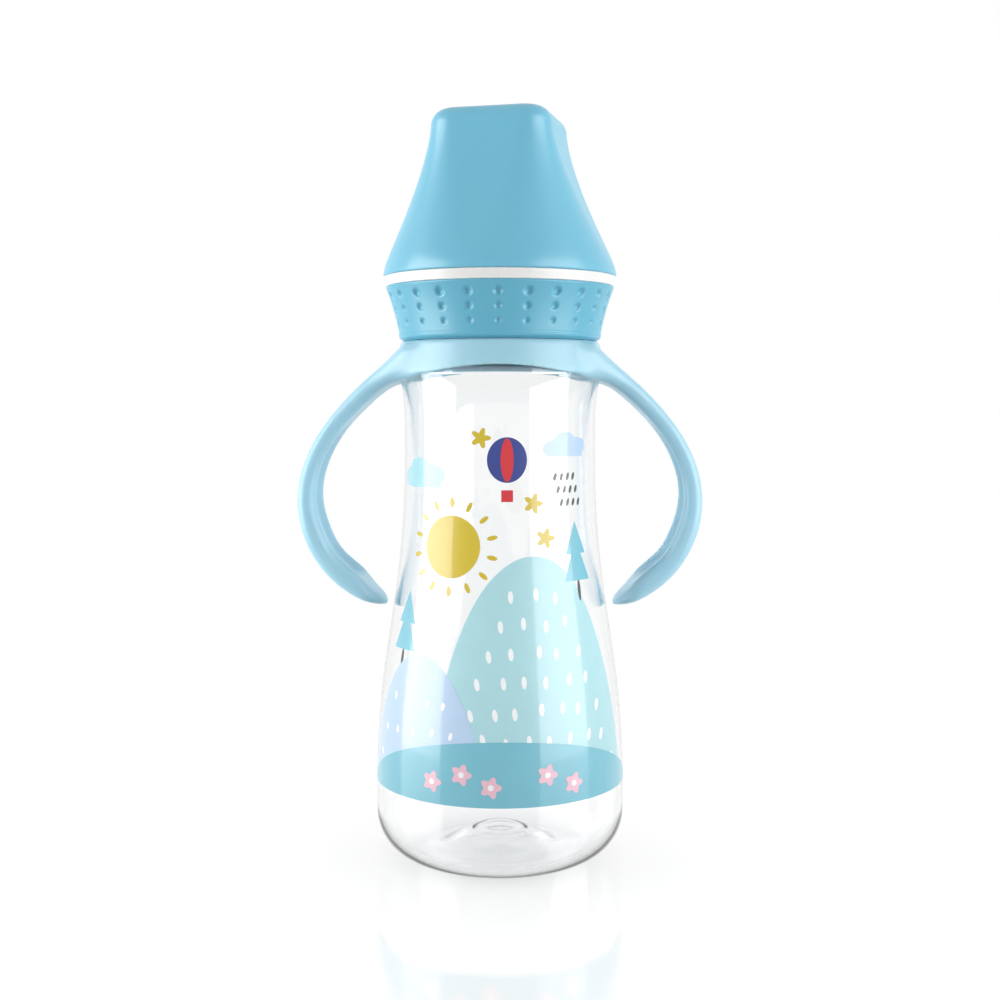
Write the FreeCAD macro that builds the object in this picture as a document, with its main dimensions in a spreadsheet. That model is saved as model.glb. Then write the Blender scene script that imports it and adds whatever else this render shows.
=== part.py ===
import FreeCAD, Part
import math
import os

import Sketcher

# Baby bottle with two strap handles, standing on its base.
# Origin at the centre of the base, Z up, handles along X, lengths in millimetres, angles in degrees.

SIZES = {
    # bottle
    "belly_radius": 30.3,
    "belly_top": 18.5,
    "belly_bend": 200.0,
    "taper_angle": 8.6,
    "waist_radius": 23.1,
    "waist_bend": 225.0,
    "flare_start": 107.0,
    "flare_bend": 40.7,
    "flare_height": 10.4,
    "shoulder_ease": 2.5,
    "shoulder_top": 119.5,
    "shoulder_bend": 0.6,
    "heel_bend": 11.4,
    "foot_width": 2.4,
    "punt_rise": 4.6,
    "button_radius": 6.0,
    "button_depth": 0.6,
    "bottle_wall": 1.4,
    "shoulder_wall": 1.5,
    "base_wall": 1.8,
    "inner_heel_top": 12.0,
    "neck_radius": 20.6,
    "neck_bore": 18.9,
    "neck_bend": 0.8,
    "rim_height": 136.2,
    "rim_bend": 0.5,
    # ring that carries the handles
    "ring_top": 125.6,
    "ring_top_radius": 24.1,
    "ring_foot": 115.7,
    "ring_foot_radius": 26.5,
    "ring_edge": 0.6,
    "ring_bore": 21.8,
    "ring_skirt_bore": 24.85,
    "saddle_height": 119.6,
    "saddle_bend": 74.0,
    "saddle_half": 23.9,
    # handles, measured from the centre that their sections fan about
    "handle_centre_x": 22.7,
    "handle_centre_z": 87.1,
    "handle_radius": 25.85,
    "handle_rise": 10.5,
    "handle_lip": 1.2,
    "handle_sag": 0.35,
    "handle_half_depth": 8.2,
    "root_flare": 6.4,
    "root_thickness": 7.5,
    "bracket_thickness": 5.5,
    "neck_thickness": 4.85,
    "grip_thickness": 4.15,
    "palm_thickness": 4.55,
    "heel_thickness": 5.1,
    "swell_thickness": 5.4,
    "taper_thickness": 4.8,
    "nose_thickness": 3.25,
    "tip_thickness": 2.3,
    "handle_edge": 2.2,
    "channel_centre_x": 25.4,
    "channel_centre_z": 86.5,
    "channel_radius": 19.6,
    "channel_bend": 11.0,
    "channel_half_width": 9.0,
    # screw ring
    "thread_bore": 21.9,
    "screw_foot": 126.2,
    "screw_foot_radius": 22.95,
    "clamp_foot": 137.7,
    "clamp_top": 139.3,
    "clamp_bore": 17.4,
    "band_foot": 138.6,
    "band_top": 141.0,
    "band_foot_radius": 27.5,
    "band_top_radius": 27.95,
    "spigot_bore": 24.2,
    "spigot_radius": 25.7,
    "spigot_top": 143.4,
    # dimpled sleeve
    "grip_foot": 125.9,
    "grip_foot_radius": 23.5,
    "grip_bead_height": 1.1,
    "grip_bead_radius": 24.5,
    "grip_bead_bend": 1.3,
    "grip_top_radius": 27.4,
    "grip_bend": 60.0,
    "grip_wall_top": 25.9,
    "dimple_count": 24,
    "dimple_sphere": 1.9,
    "dimple_depth": 0.45,
    "dimple_shrink": 0.16,
    "dimple_top_row": 136.1,
    "dimple_row_gap": 3.25,
    # teat
    "flange_radius": 20.4,
    "teat_waist": 17.1,
    "teat_shoulder": 18.3,
    "teat_shoulder_foot": 139.5,
    "teat_shoulder_top": 141.4,
    "teat_dome_bend": 17.5,
    "teat_neck_radius": 6.6,
    "teat_neck_height": 154.5,
    "teat_neck_bend": 26.0,
    "teat_bulb_height": 164.4,
    "teat_bulb_radius": 7.6,
    "teat_wall": 1.7,
    "feed_hole": 0.6,
    # hood
    "hood_foot": 141.0,
    "hood_top": 179.7,
    "hood_wall": 1.6,
    "hood_rim_half": 0.25,
    "hood_rim_corner": 27.75,
    "hood_top_half": 9.1,
    "hood_top_corner": 5.5,
    "hood_edge": 3.8,
    "hood_turn": -13.0,
}


class Size:
    """A length known both as a number and as the sheet formula that gives it."""

    def __init__(self, value, formula):
        self.value = value
        self.formula = formula

    def __add__(self, other):
        other = as_size(other)
        return Size(self.value + other.value, f"({self.formula} + {other.formula})")

    def __sub__(self, other):
        other = as_size(other)
        return Size(self.value - other.value, f"({self.formula} - {other.formula})")

    def __mul__(self, other):
        other = as_size(other)
        return Size(self.value * other.value, f"({self.formula} * {other.formula})")

    def __truediv__(self, other):
        other = as_size(other)
        return Size(self.value / other.value, f"({self.formula} / {other.formula})")

    def __neg__(self):
        return Size(-self.value, f"(0 - {self.formula})")

    def sin(self):
        return Size(math.sin(math.radians(self.value)), f"sin({self.formula} * 1 deg)")

    def cos(self):
        return Size(math.cos(math.radians(self.value)), f"cos({self.formula} * 1 deg)")

    def sqrt(self):
        return Size(math.sqrt(self.value), f"sqrt({self.formula})")


def as_size(number):
    """Plain numbers join in sheet formulas as they are."""
    return number if isinstance(number, Size) else Size(float(number), repr(float(number)))


doc = FreeCAD.newDocument("BabyBottle")
sheet = doc.addObject("Spreadsheet::Sheet", "Dims")
for row, (alias, number) in enumerate(SIZES.items(), start=1):
    sheet.set(f"A{row}", alias)
    sheet.set(f"B{row}", str(number))
    sheet.setAlias(f"B{row}", alias)
doc.recompute()


class Dims:
    """Every size of the sheet, by its alias."""


for alias, number in SIZES.items():
    setattr(Dims, alias, Size(float(number), f"Dims.{alias}"))

ZERO = as_size(0)


def new_body(label):
    body = doc.addObject("PartDesign::Body", label)
    body.Label = label
    return body


def origin_feature(body, role):
    return next(feature for feature in body.Origin.OriginFeatures if feature.Role == role)


def new_sketch(body, name, role):
    sketch = body.newObject("Sketcher::SketchObject", name)
    sketch.AttachmentSupport = [(origin_feature(body, role), "")]
    sketch.MapMode = "FlatFace"
    return sketch


def arc_between(start, end, radius):
    """Arc of less than half a circle; a positive radius turns left on the way from start to end."""
    chord = end - start
    left = FreeCAD.Vector(-chord.y, chord.x, 0).normalize()
    reach = math.sqrt(radius * radius - chord.Length * chord.Length / 4)
    centre = (start + end) / 2 + left * math.copysign(reach, radius)
    first, last = (start, end) if radius > 0 else (end, start)
    first_angle = math.atan2(first.y - centre.y, first.x - centre.x)
    last_angle = math.atan2(last.y - centre.y, last.x - centre.x)
    circle = Part.Circle(centre, FreeCAD.Vector(0, 0, 1), abs(radius))
    return Part.ArcOfCircle(circle, first_angle, last_angle)


def bind(sketch, kind, elements, size):
    """Add a dimension to the sketch and tie it to the sheet."""
    index = sketch.addConstraint(Sketcher.Constraint(kind, *elements, size.value))
    sketch.setExpression(f"Constraints[{index}]", size.formula)


def pin(sketch, element, end, axis, size):
    """Hold a point at a distance from the sketch's origin, on either side of it."""
    if abs(size.value) < 1e-9:
        line = -2 if axis == "DistanceX" else -1
        sketch.addConstraint(Sketcher.Constraint("PointOnObject", element, end, line))
    elif size.value > 0:
        bind(sketch, axis, (-1, 1, element, end), size)
    else:
        bind(sketch, axis, (element, end, -1, 1), -size)


def draw_outline(sketch, steps):
    """Closed outline. Each step is (x, y) or (x, y, radius of the arc from there to the next point)."""
    corners = [(as_size(step[0]), as_size(step[1])) for step in steps]
    bends = [as_size(step[2]) if len(step) > 2 else None for step in steps]
    points = [FreeCAD.Vector(x.value, y.value, 0) for x, y in corners]
    sides = []
    for index, bend in enumerate(bends):
        start = points[index]
        end = points[(index + 1) % len(points)]
        if bend is None:
            sides.append((sketch.addGeometry(Part.LineSegment(start, end), False), 1, 2))
        else:
            element = sketch.addGeometry(arc_between(start, end, bend.value), False)
            sides.append((element, 1, 2) if bend.value > 0 else (element, 2, 1))
    for index, (element, start, _) in enumerate(sides):
        previous, _, previous_end = sides[index - 1]
        sketch.addConstraint(Sketcher.Constraint("Coincident", previous, previous_end, element, start))
        pin(sketch, element, start, "DistanceX", corners[index][0])
        pin(sketch, element, start, "DistanceY", corners[index][1])
    for (element, _, _), bend in zip(sides, bends):
        if bend is not None:
            bind(sketch, "Radius", (element,), bend if bend.value > 0 else -bend)


def revolve(body, name, steps, kind="PartDesign::Revolution"):
    """Turn an outline of (radius, height) points about the upright axis."""
    sketch = new_sketch(body, name + "_outline", "XZ_Plane")
    draw_outline(sketch, steps)
    feature = body.newObject(kind, name)
    feature.Profile = sketch
    feature.ReferenceAxis = (sketch, ["V_Axis"])
    feature.Angle = 360
    body.Tip = feature
    doc.recompute()
    return feature


def rounded_box(left, right, half_depth, corner):
    """Outline of a rectangle, even about the X axis, with four rounded corners."""
    return [
        (left + corner, -half_depth),
        (right - corner, -half_depth, corner),
        (right, corner - half_depth),
        (right, half_depth - corner, corner),
        (right - corner, half_depth),
        (left + corner, half_depth, corner),
        (left, half_depth - corner),
        (left, corner - half_depth, corner),
    ]


def loft(body, name, sketches, kind="PartDesign::AdditiveLoft"):
    feature = body.newObject(kind, name)
    feature.Profile = sketches[0]
    feature.Sections = sketches[1:]
    body.Tip = feature
    doc.recompute()
    return feature


def mirror_across(body, name, originals):
    """Repeat features on the other side of the plane between the two handles."""
    feature = body.newObject("PartDesign::Mirrored", name)
    feature.Originals = originals
    feature.MirrorPlane = (origin_feature(body, "YZ_Plane"), [""])
    body.Tip = feature
    doc.recompute()
    return feature


def make_bottle():
    """Wall section turned about the axis: heel, belly, straight taper, waist, flare, shoulder and neck."""
    d = Dims
    sine = d.taper_angle.sin()
    fall = as_size(1) - d.taper_angle.cos()
    straight = (d.belly_radius - d.waist_radius - (d.belly_bend + d.waist_bend) * fall) / sine
    taper_foot = (d.belly_radius - d.belly_bend * fall, d.belly_top + d.belly_bend * sine)
    taper_top = (d.waist_radius + d.waist_bend * fall, taper_foot[1] + straight * d.taper_angle.cos())
    waist_top = taper_top[1] + d.waist_bend * sine
    flare_lean = d.flare_height / d.flare_bend
    flare_slope = (as_size(1) - flare_lean * flare_lean).sqrt()
    flare_edge = d.waist_radius + d.flare_bend * (as_size(1) - flare_slope)
    flare_top = d.flare_start + d.flare_height
    shoulder_edge = flare_edge + d.shoulder_ease * (as_size(1) - flare_slope)
    ledge = seat_height()
    wall = d.bottle_wall
    lean_in = wall * d.taper_angle.cos()
    lean_up = wall * sine
    flare_in = wall * flare_slope
    flare_down = wall * flare_lean
    foot_inner = d.belly_radius - d.heel_bend - d.foot_width
    punt_bend = (foot_inner * foot_inner + d.punt_rise * d.punt_rise) / (d.punt_rise * 2)
    punt_drop = punt_bend - (punt_bend * punt_bend - d.button_radius * d.button_radius).sqrt()
    button_edge = d.punt_rise - punt_drop
    floor_edge = foot_inner + d.foot_width
    floor_bend = (floor_edge * floor_edge + d.punt_rise * d.punt_rise) / (d.punt_rise * 2)
    floor_top = d.punt_rise + d.base_wall
    inner_bend = d.heel_bend - wall
    outline = [
        (ZERO, d.punt_rise + d.button_depth),
        (d.button_radius, d.punt_rise + d.button_depth),
        (d.button_radius, button_edge, -punt_bend),
        (foot_inner, ZERO),
        (d.belly_radius - d.heel_bend, ZERO, d.heel_bend),
        (d.belly_radius, d.heel_bend),
        (d.belly_radius, d.belly_top, d.belly_bend),
        taper_foot,
        (taper_top[0], taper_top[1], -d.waist_bend),
        (d.waist_radius, waist_top),
        (d.waist_radius, d.flare_start, -d.flare_bend),
        (flare_edge, flare_top, d.shoulder_ease),
        (shoulder_edge, flare_top + d.shoulder_ease * flare_lean),
        (shoulder_edge, d.shoulder_top, d.shoulder_bend),
        (shoulder_edge - d.shoulder_bend, ledge),
        (d.neck_radius + d.neck_bend, ledge, -d.neck_bend),
        (d.neck_radius, ledge + d.neck_bend),
        (d.neck_radius, d.rim_height - d.rim_bend, d.rim_bend),
        (d.neck_radius - d.rim_bend, d.rim_height),
        (d.neck_bore, d.rim_height),
        (d.neck_bore, ledge - d.shoulder_wall),
        (flare_edge - flare_in, flare_top - flare_down, d.flare_bend + wall),
        (d.waist_radius - wall, d.flare_start),
        (d.waist_radius - wall, waist_top, d.waist_bend + wall),
        (taper_top[0] - lean_in, taper_top[1] - lean_up),
        (taper_foot[0] - lean_in, taper_foot[1] - lean_up, -(d.belly_bend - wall)),
        (d.belly_radius - wall, d.belly_top),
        (d.belly_radius - wall, d.inner_heel_top, -inner_bend),
        (floor_edge, d.base_wall, floor_bend),
        (ZERO, floor_top),
    ]
    body = new_body("bottle")
    revolve(body, "wall", outline)
    return body


def make_handle_ring():
    """Skirted ring on the shoulder, with two strap handles lofted through sections fanned about a centre."""
    d = Dims
    body = new_body("handle_ring")
    ledge_seat = seat_height()
    revolve(body, "ring", [
        (d.ring_bore, d.ring_foot),
        (d.ring_foot_radius, d.ring_foot),
        (d.ring_top_radius, d.ring_top - d.ring_edge, d.ring_edge),
        (d.ring_top_radius - d.ring_edge, d.ring_top),
        (d.ring_bore, d.ring_top),
    ])
    strap = add_strap(body)
    mirror_across(body, "strap_pair", [strap])
    trim_bore(body, ledge_seat)
    trim_saddle(body)
    channel = add_channel(body)
    mirror_across(body, "channel_pair", [channel])
    return body


def seat_height():
    """Height of the bottle's ledge, where the ring sits."""
    return Dims.shoulder_top + Dims.shoulder_bend


def fanned_sketch(body, name, angle, shift):
    """Sketch on the plane that stands at an angle about the handle's centre: x outward, y along depth."""
    d = Dims
    sketch = new_sketch(body, name, "XY_Plane")
    turn = FreeCAD.Rotation(FreeCAD.Vector(0, 1, 0), -angle)
    sketch.AttachmentOffset = FreeCAD.Placement(FreeCAD.Vector(0, 0, 0), turn)
    sketch.setExpression("AttachmentOffset.Base.x", (d.handle_centre_x + shift).formula)
    sketch.setExpression("AttachmentOffset.Base.z", d.handle_centre_z.formula)
    return sketch


def add_strap(body):
    """Loft from inside the ring down to the tip. Stations are (angle, shift towards the axis, thickness). The
    strap stands off further and widens towards its root, and it ends in a blunt round tip."""
    d = Dims
    root_angle = 90
    tip_angle = -80.8
    rise_power = 3.6
    lip_power = 20
    flare_power = 6.3
    sag_power = 4
    blunt_power = 14
    root_spread = 0.5
    round_share = 0.45
    stations = [
        (root_angle, -7.7, d.root_thickness),
        (root_angle, -4.0, d.root_thickness),
        (root_angle, 0.0, d.root_thickness),
        (82, 0.0, d.bracket_thickness),
        (75, 0.0, d.neck_thickness),
        (58, 0.0, d.grip_thickness),
        (40, 0.0, d.grip_thickness),
        (20, 0.0, d.grip_thickness),
        (0, 0.0, d.palm_thickness),
        (-20, 0.0, d.heel_thickness),
        (-37, 0.0, d.heel_thickness),
        (-50, 0.0, d.swell_thickness),
        (-61, 0.0, d.taper_thickness),
        (-70, 0.0, d.nose_thickness),
        (-76, 0.0, d.tip_thickness),
        (-79, 0.0, d.tip_thickness * 0.6),
        (-80.3, 0.0, d.tip_thickness * 0.3),
    ]
    sketches = []
    for angle, shift, thickness in stations:
        climb = max(angle, 0) / root_angle
        fall = min(angle, 0) / tip_angle
        taper = math.sqrt(1 - fall ** blunt_power)
        stand_off = d.handle_rise * climb ** rise_power + d.handle_lip * climb ** lip_power
        outer = d.handle_radius + stand_off + d.handle_sag * fall ** sag_power
        half_depth = (d.handle_half_depth + d.root_flare * climb ** flare_power) * taper - shift * root_spread
        corner = thickness * round_share
        if corner.value > d.handle_edge.value:
            corner = d.handle_edge
        sketch = fanned_sketch(body, f"strap_section_{len(sketches)}", angle, shift)
        draw_outline(sketch, rounded_box(outer - thickness, outer, half_depth, corner))
        sketches.append(sketch)
    return loft(body, "strap", sketches)


def trim_bore(body, ledge_seat):
    """Clear the neck's bore above the ledge and the bottle's shoulder below it, and level the top."""
    d = Dims
    margin = 2.0
    revolve(body, "bore", [
        (ZERO, d.ring_foot - margin),
        (d.ring_skirt_bore, d.ring_foot - margin),
        (d.ring_skirt_bore, ledge_seat),
        (d.ring_bore, ledge_seat),
        (d.ring_bore, d.ring_top),
        (d.ring_foot_radius, d.ring_top),
        (d.ring_foot_radius, d.ring_top + margin),
        (ZERO, d.ring_top + margin),
    ], "PartDesign::Groove")


def trim_saddle(body):
    """Arch the ring's lower edge, high at front and back and low where the handles leave it."""
    d = Dims
    drop = d.saddle_bend - (d.saddle_bend * d.saddle_bend - d.saddle_half * d.saddle_half).sqrt()
    edge = d.saddle_height - drop
    below = 8.0
    sketch = new_sketch(body, "saddle_outline", "XZ_Plane")
    draw_outline(sketch, [
        (d.saddle_half, edge - below),
        (d.saddle_half, edge, d.saddle_bend),
        (-d.saddle_half, edge),
        (-d.saddle_half, edge - below),
    ])
    pocket = body.newObject("PartDesign::Pocket", "saddle")
    pocket.Profile = sketch
    pocket.Midplane = True
    pocket.Type = 0
    pocket.setExpression("Length", (d.ring_foot_radius * 4).formula)
    body.Tip = pocket
    doc.recompute()
    return pocket


def add_channel(body):
    """Hollow the strap's inner face: a lens turned about an axis along the depth, whose crown alone cuts."""
    d = Dims
    half = d.channel_half_width
    crown = d.channel_bend - (d.channel_bend * d.channel_bend - half * half).sqrt()
    sketch = new_sketch(body, "channel_outline", "XY_Plane")
    sketch.setExpression("AttachmentOffset.Base.x", d.channel_centre_x.formula)
    sketch.setExpression("AttachmentOffset.Base.z", d.channel_centre_z.formula)
    foot = d.channel_radius - crown
    draw_outline(sketch, [(foot, -half, d.channel_bend), (foot, half)])
    groove = body.newObject("PartDesign::Groove", "channel")
    groove.Profile = sketch
    groove.ReferenceAxis = (sketch, ["V_Axis"])
    groove.Angle = 360
    body.Tip = groove
    doc.recompute()
    return groove


def make_screw_ring():
    """Threaded ring: conical wall, inner lip over the teat's flange, outer band and a spigot for the hood."""
    d = Dims
    body = new_body("screw_ring")
    revolve(body, "section", [
        (d.thread_bore, d.screw_foot),
        (d.screw_foot_radius, d.screw_foot),
        (d.grip_wall_top, d.band_foot),
        (d.band_foot_radius, d.band_foot),
        (d.band_top_radius, d.band_top),
        (d.spigot_radius, d.band_top),
        (d.spigot_radius, d.spigot_top),
        (d.spigot_bore, d.spigot_top),
        (d.spigot_bore, d.clamp_top),
        (d.clamp_bore, d.clamp_top),
        (d.clamp_bore, d.clamp_foot),
        (d.thread_bore, d.clamp_foot),
    ])
    return body


def make_collar_grip():
    """Flared sleeve with a bead at its foot and rows of round dimples that shrink downwards."""
    d = Dims
    body = new_body("collar_grip")
    bead_top = d.grip_foot + d.grip_bead_height
    revolve(body, "sleeve", [
        (d.screw_foot_radius, d.grip_foot),
        (d.grip_foot_radius, d.grip_foot, d.grip_bead_bend),
        (d.grip_bead_radius, bead_top, -d.grip_bend),
        (d.grip_top_radius, d.band_foot),
        (d.grip_wall_top, d.band_foot),
        (d.screw_foot_radius, d.screw_foot),
    ])
    rows = [dimple(body, row) for row in range(3)]
    pattern = body.newObject("PartDesign::PolarPattern", "dimple_columns")
    pattern.Originals = rows
    pattern.Axis = (origin_feature(body, "Z_Axis"), [""])
    pattern.Angle = 360
    pattern.setExpression("Occurrences", d.dimple_count.formula)
    body.Tip = pattern
    doc.recompute()
    return body


def dimple(body, row):
    """Ball that dips into the sleeve's flared wall."""
    d = Dims
    height = d.dimple_top_row - d.dimple_row_gap * row
    bead_top = d.grip_foot + d.grip_bead_height
    flank = d.band_foot - bead_top
    along = (height - bead_top) / flank
    hollow = flank * flank * along * (as_size(1) - along) / (d.grip_bend * 2)
    surface = d.grip_bead_radius + (d.grip_top_radius - d.grip_bead_radius) * along - hollow
    radius = d.dimple_sphere * (as_size(1) - d.dimple_shrink * row)
    depth = d.dimple_depth * (as_size(1) - d.dimple_shrink * row)
    ball = body.newObject("PartDesign::SubtractiveSphere", f"dimple_{row}")
    ball.setExpression("Radius", radius.formula)
    ball.setExpression("Placement.Base.x", (surface + radius - depth).formula)
    ball.setExpression("Placement.Base.z", height.formula)
    body.Tip = ball
    doc.recompute()
    return ball


def make_teat():
    """Soft teat: flange, waist in the screw ring's lip, shoulder, dome, neck, bulb and feed hole."""
    d = Dims
    wall = d.teat_wall
    body = new_body("teat")
    tip = (d.teat_bulb_radius * d.teat_bulb_radius - d.feed_hole * d.feed_hole).sqrt()
    inner_bulb = d.teat_bulb_radius - wall
    inner_tip = (inner_bulb * inner_bulb - d.feed_hole * d.feed_hole).sqrt()
    revolve(body, "skin", [
        (d.teat_waist - wall, d.rim_height),
        (d.flange_radius, d.rim_height),
        (d.flange_radius, d.clamp_foot),
        (d.teat_waist, d.clamp_foot),
        (d.teat_waist, d.teat_shoulder_foot),
        (d.teat_shoulder, d.teat_shoulder_foot),
        (d.teat_shoulder, d.teat_shoulder_top, -d.teat_dome_bend),
        (d.teat_neck_radius, d.teat_neck_height, -d.teat_neck_bend),
        (d.teat_bulb_radius, d.teat_bulb_height, d.teat_bulb_radius),
        (d.feed_hole, d.teat_bulb_height + tip),
        (d.feed_hole, d.teat_bulb_height + inner_tip, -inner_bulb),
        (inner_bulb, d.teat_bulb_height, d.teat_neck_bend),
        (d.teat_neck_radius - wall, d.teat_neck_height, d.teat_dome_bend + wall),
        (d.teat_waist - wall, d.teat_shoulder_top - wall),
    ])
    return body


def hood_sketch(body, name, height, half, corner):
    """Rounded square: a square of the given half side, grown by the corner radius."""
    sketch = new_sketch(body, name, "XY_Plane")
    sketch.setExpression("AttachmentOffset.Base.z", height.formula)
    reach = half + corner
    draw_outline(sketch, rounded_box(-reach, reach, reach, corner))
    return sketch


def make_hood():
    """Cap lofted from a round rim to a rounded square top with a rolled edge, hollowed to an even wall."""
    d = Dims
    body = new_body("hood")
    add_cap(body, "skin", ZERO, "PartDesign::AdditiveLoft")
    add_cap(body, "hollow", d.hood_wall, "PartDesign::SubtractiveLoft")
    body.setExpression("Placement.Rotation.Angle", d.hood_turn.formula)
    doc.recompute()
    return body


def add_cap(body, name, inset, kind):
    """Walls and rolled roof of the cap, drawn in by an even inset. Stations are shares of the way up, in that
    order: height, growth of the square's half side, shrinking of the corner radius."""
    d = Dims
    stations = [
        (0.0, 0.0, 0.0),
        (0.1, 0.11, 0.075),
        (0.27, 0.445, 0.345),
        (0.43, 0.69, 0.575),
        (0.59, 0.84, 0.755),
        (0.75, 0.94, 0.885),
        (0.9, 0.98, 0.97),
        (1.0, 1.0, 1.0),
    ]
    eaves = d.hood_top - d.hood_edge
    walls = []
    for along, square, slim in stations:
        height = d.hood_foot + (eaves - d.hood_foot) * along
        half = d.hood_rim_half + (d.hood_top_half - d.hood_rim_half) * square
        corner = d.hood_rim_corner + (d.hood_top_corner - d.hood_rim_corner) * slim - inset
        walls.append(hood_sketch(body, f"{name}_wall_{len(walls)}", height, half, corner))
    loft(body, name + "_walls", walls, kind)
    edge = d.hood_edge - inset
    roof = []
    for turn in (0, 25, 50, 70, 86):
        height = eaves + edge * math.sin(math.radians(turn))
        corner = d.hood_top_corner - inset - edge * (1 - math.cos(math.radians(turn)))
        roof.append(hood_sketch(body, f"{name}_roof_{len(roof)}", height, d.hood_top_half, corner))
    loft(body, name + "_roof", roof, kind)


pieces = [
    make_bottle(),
    make_handle_ring(),
    make_teat(),
    make_screw_ring(),
    make_collar_grip(),
    make_hood(),
]
doc.recompute()

for item in doc.Objects:
    if "Invalid" in item.State or "Error" in item.State:
        raise RuntimeError(f"{item.Label} failed: {item.State}")
for piece in pieces:
    if piece.Shape.isNull() or not piece.Shape.isValid() or len(piece.Shape.Solids) != 1:
        raise RuntimeError(f"{piece.Label} is not one valid solid")

os.makedirs("parts", exist_ok=True)
for piece in pieces:
    piece.Shape.exportStep(f"parts/{piece.Label}.step")
    box = piece.Shape.optimalBoundingBox(False)
    print(f"{piece.Label}: {piece.Shape.Volume / 1000:.2f} cm3, "
          f"{box.XLength:.2f} x {box.YLength:.2f} x {box.ZLength:.2f} mm")
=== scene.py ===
import math

import bmesh
import bpy
import numpy as np
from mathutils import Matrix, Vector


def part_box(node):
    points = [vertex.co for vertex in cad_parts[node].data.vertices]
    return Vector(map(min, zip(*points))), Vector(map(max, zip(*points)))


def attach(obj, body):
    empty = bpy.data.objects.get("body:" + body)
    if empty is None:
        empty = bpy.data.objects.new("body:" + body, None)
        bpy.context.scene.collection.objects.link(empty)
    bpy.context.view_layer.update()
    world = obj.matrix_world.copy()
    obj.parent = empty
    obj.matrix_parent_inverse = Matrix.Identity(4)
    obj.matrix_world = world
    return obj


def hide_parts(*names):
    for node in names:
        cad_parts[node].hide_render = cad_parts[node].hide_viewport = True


# Baby bottle with strap handles, standing on a white floor. Lengths are millimetres until a mesh is made.
# Angles round the bottle start at the front (-Y) and grow towards +X.

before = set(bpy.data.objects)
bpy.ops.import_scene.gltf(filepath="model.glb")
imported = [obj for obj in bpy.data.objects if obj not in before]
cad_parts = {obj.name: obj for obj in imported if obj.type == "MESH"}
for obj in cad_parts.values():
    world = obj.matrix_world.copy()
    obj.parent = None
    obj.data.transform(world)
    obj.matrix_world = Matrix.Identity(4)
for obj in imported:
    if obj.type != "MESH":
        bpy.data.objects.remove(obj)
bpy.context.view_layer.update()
MM = 0.001
FULL_TURN = 2 * math.pi

# Heights and the belly's radius, read from the frame
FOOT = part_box("bottle")[0].z / MM
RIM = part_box("bottle")[1].z / MM
COLLAR_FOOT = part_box("collar_grip")[0].z / MM
COLLAR_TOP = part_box("collar_grip")[1].z / MM
SPIGOT_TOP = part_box("screw_ring")[1].z / MM
HOOD_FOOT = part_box("hood")[0].z / MM
HOOD_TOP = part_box("hood")[1].z / MM
RING_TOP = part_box("handle_ring")[1].z / MM
BELLY_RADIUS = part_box("bottle")[1].x / MM


# Meshes from arrays

def link(thing):
    """Put a thing into the scene."""
    bpy.context.scene.collection.objects.link(thing)
    return thing


def grid_faces(rows, columns, wrap_rows, wrap_columns):
    """Quads between neighbouring points of a grid whose points are numbered row by row."""
    row = np.arange(rows if wrap_rows else rows - 1)[:, None]
    column = np.arange(columns if wrap_columns else columns - 1)[None, :]
    here = row * columns
    above = (row + 1) % rows * columns
    beside = (column + 1) % columns
    return np.stack((here + column, here + beside, above + beside, above + column), axis=-1).reshape(-1, 4)


def mesh_object(name, points, faces, crease=35):
    """Object from points in millimetres; doubled points are merged, so poles and seams close."""
    mesh = bpy.data.meshes.new(name)
    mesh.from_pydata((points.reshape(-1, 3) * MM).tolist(), [], faces.tolist())
    shape = bmesh.new()
    shape.from_mesh(mesh)
    bmesh.ops.remove_doubles(shape, verts=shape.verts, dist=0.002 * MM)
    bmesh.ops.dissolve_degenerate(shape, edges=shape.edges, dist=0.001 * MM)
    bmesh.ops.recalc_face_normals(shape, faces=shape.faces)
    shape.to_mesh(mesh)
    shape.free()
    mesh.polygons.foreach_set("use_smooth", np.ones(len(mesh.polygons), bool))
    mesh.set_sharp_from_angle(angle=math.radians(crease))
    return link(bpy.data.objects.new(name, mesh))


def trace(steps, longest=2.0):
    """Outline through (radius, height) steps. A step (r, z, bend) leaves its point on an arc of that radius,
    turning left where bend is positive. Arcs get a point every five degrees or so, and no run is longer than
    the given length."""
    outline = []
    for index, step in enumerate(steps[:-1]):
        start = np.array(step[:2], float)
        end = np.array(steps[index + 1][:2], float)
        chord = end - start
        length = np.hypot(*chord)
        bend = step[2] if len(step) > 2 else None
        if bend is None:
            share = np.linspace(0, 1, max(2, math.ceil(length / longest) + 1))[:-1, None]
            outline.append(start + share * chord)
            continue
        left = np.array((-chord[1], chord[0])) / length
        reach = math.sqrt(max(bend * bend - length * length / 4, 0))
        centre = (start + end) / 2 + left * math.copysign(reach, bend)
        sweep = 2 * math.asin(min(1, length / 2 / abs(bend)))
        count = max(3, math.ceil(math.degrees(sweep) / 5), math.ceil(abs(bend) * sweep / longest)) + 1
        begin = math.atan2(*(start - centre)[::-1])
        angle = begin + math.copysign(1, bend) * np.linspace(0, sweep, count)[:-1]
        outline.append(centre + abs(bend) * np.stack((np.cos(angle), np.sin(angle)), axis=-1))
    outline.append(np.array([steps[-1][:2]], float))
    return np.concatenate(outline)


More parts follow.
